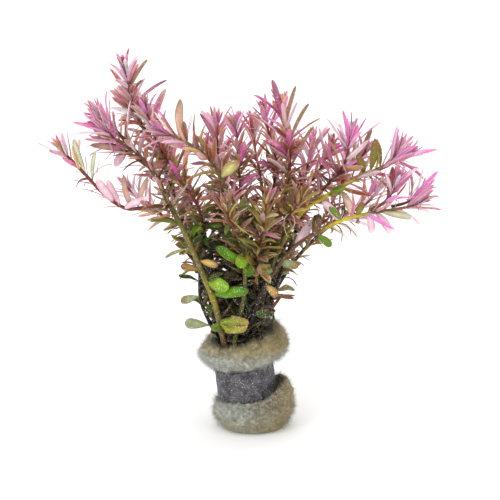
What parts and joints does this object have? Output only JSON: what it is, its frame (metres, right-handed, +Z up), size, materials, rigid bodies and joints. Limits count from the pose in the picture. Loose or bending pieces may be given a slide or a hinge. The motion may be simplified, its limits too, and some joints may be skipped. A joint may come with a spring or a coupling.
{
  "type": "rotala bunch",
  "caption": "Bunch of rotala stems with pink tips, their feet rolled in foam and pinched by a lead ribbon, standing on the foam's flat sole.",
  "frame": {"origin": "centre of the foam's flat sole, on the surface that it stands on", "axes": "+Z up, +X to the right and +Y away from the picture's camera; the wrapped foot leans 8 degrees towards -X"},
  "size_m": [0.1447, 0.0859, 0.141],
  "materials": {
    "foam": "matte",
    "lead": "satin",
    "olive_stem": "satin",
    "pink_shoot": "satin"
  },
  "bodies": {
    "root": {"foam_wrap": "foam", "lead_band": "lead", "shoot_arching_front": "pink_shoot", "shoot_back_left_side": "pink_shoot", "shoot_back_right_side": "pink_shoot", "shoot_far_left": "pink_shoot", "shoot_left_lower": "pink_shoot", "shoot_left_upper": "pink_shoot", "shoot_low_right_end": "pink_shoot", "shoot_low_right_inner": "pink_shoot", "shoot_slender_back": "pink_shoot", "shoot_star_side": "pink_shoot", "shoot_tall_front": "pink_shoot", "shoot_tallest_side": "pink_shoot", "shoot_yellow_side": "pink_shoot", "stem_back_left": "olive_stem", "stem_back_middle": "olive_stem", "stem_back_right": "olive_stem", "stem_back_tall": "olive_stem", "stem_front_short": "olive_stem", "stem_left_arching": "olive_stem", "stem_left_dark": "olive_stem", "stem_left_tallest": "olive_stem", "stem_left_thick": "olive_stem", "stem_middle_rosette": "olive_stem", "stem_middle_slender": "olive_stem", "stem_middle_tall": "olive_stem", "stem_middle_upright": "olive_stem", "stem_right_dark": "olive_stem", "stem_right_low": "olive_stem", "stem_right_star": "olive_stem", "stem_right_upright": "olive_stem", "stem_right_yellow": "olive_stem"}
  },
  "joints": []
}
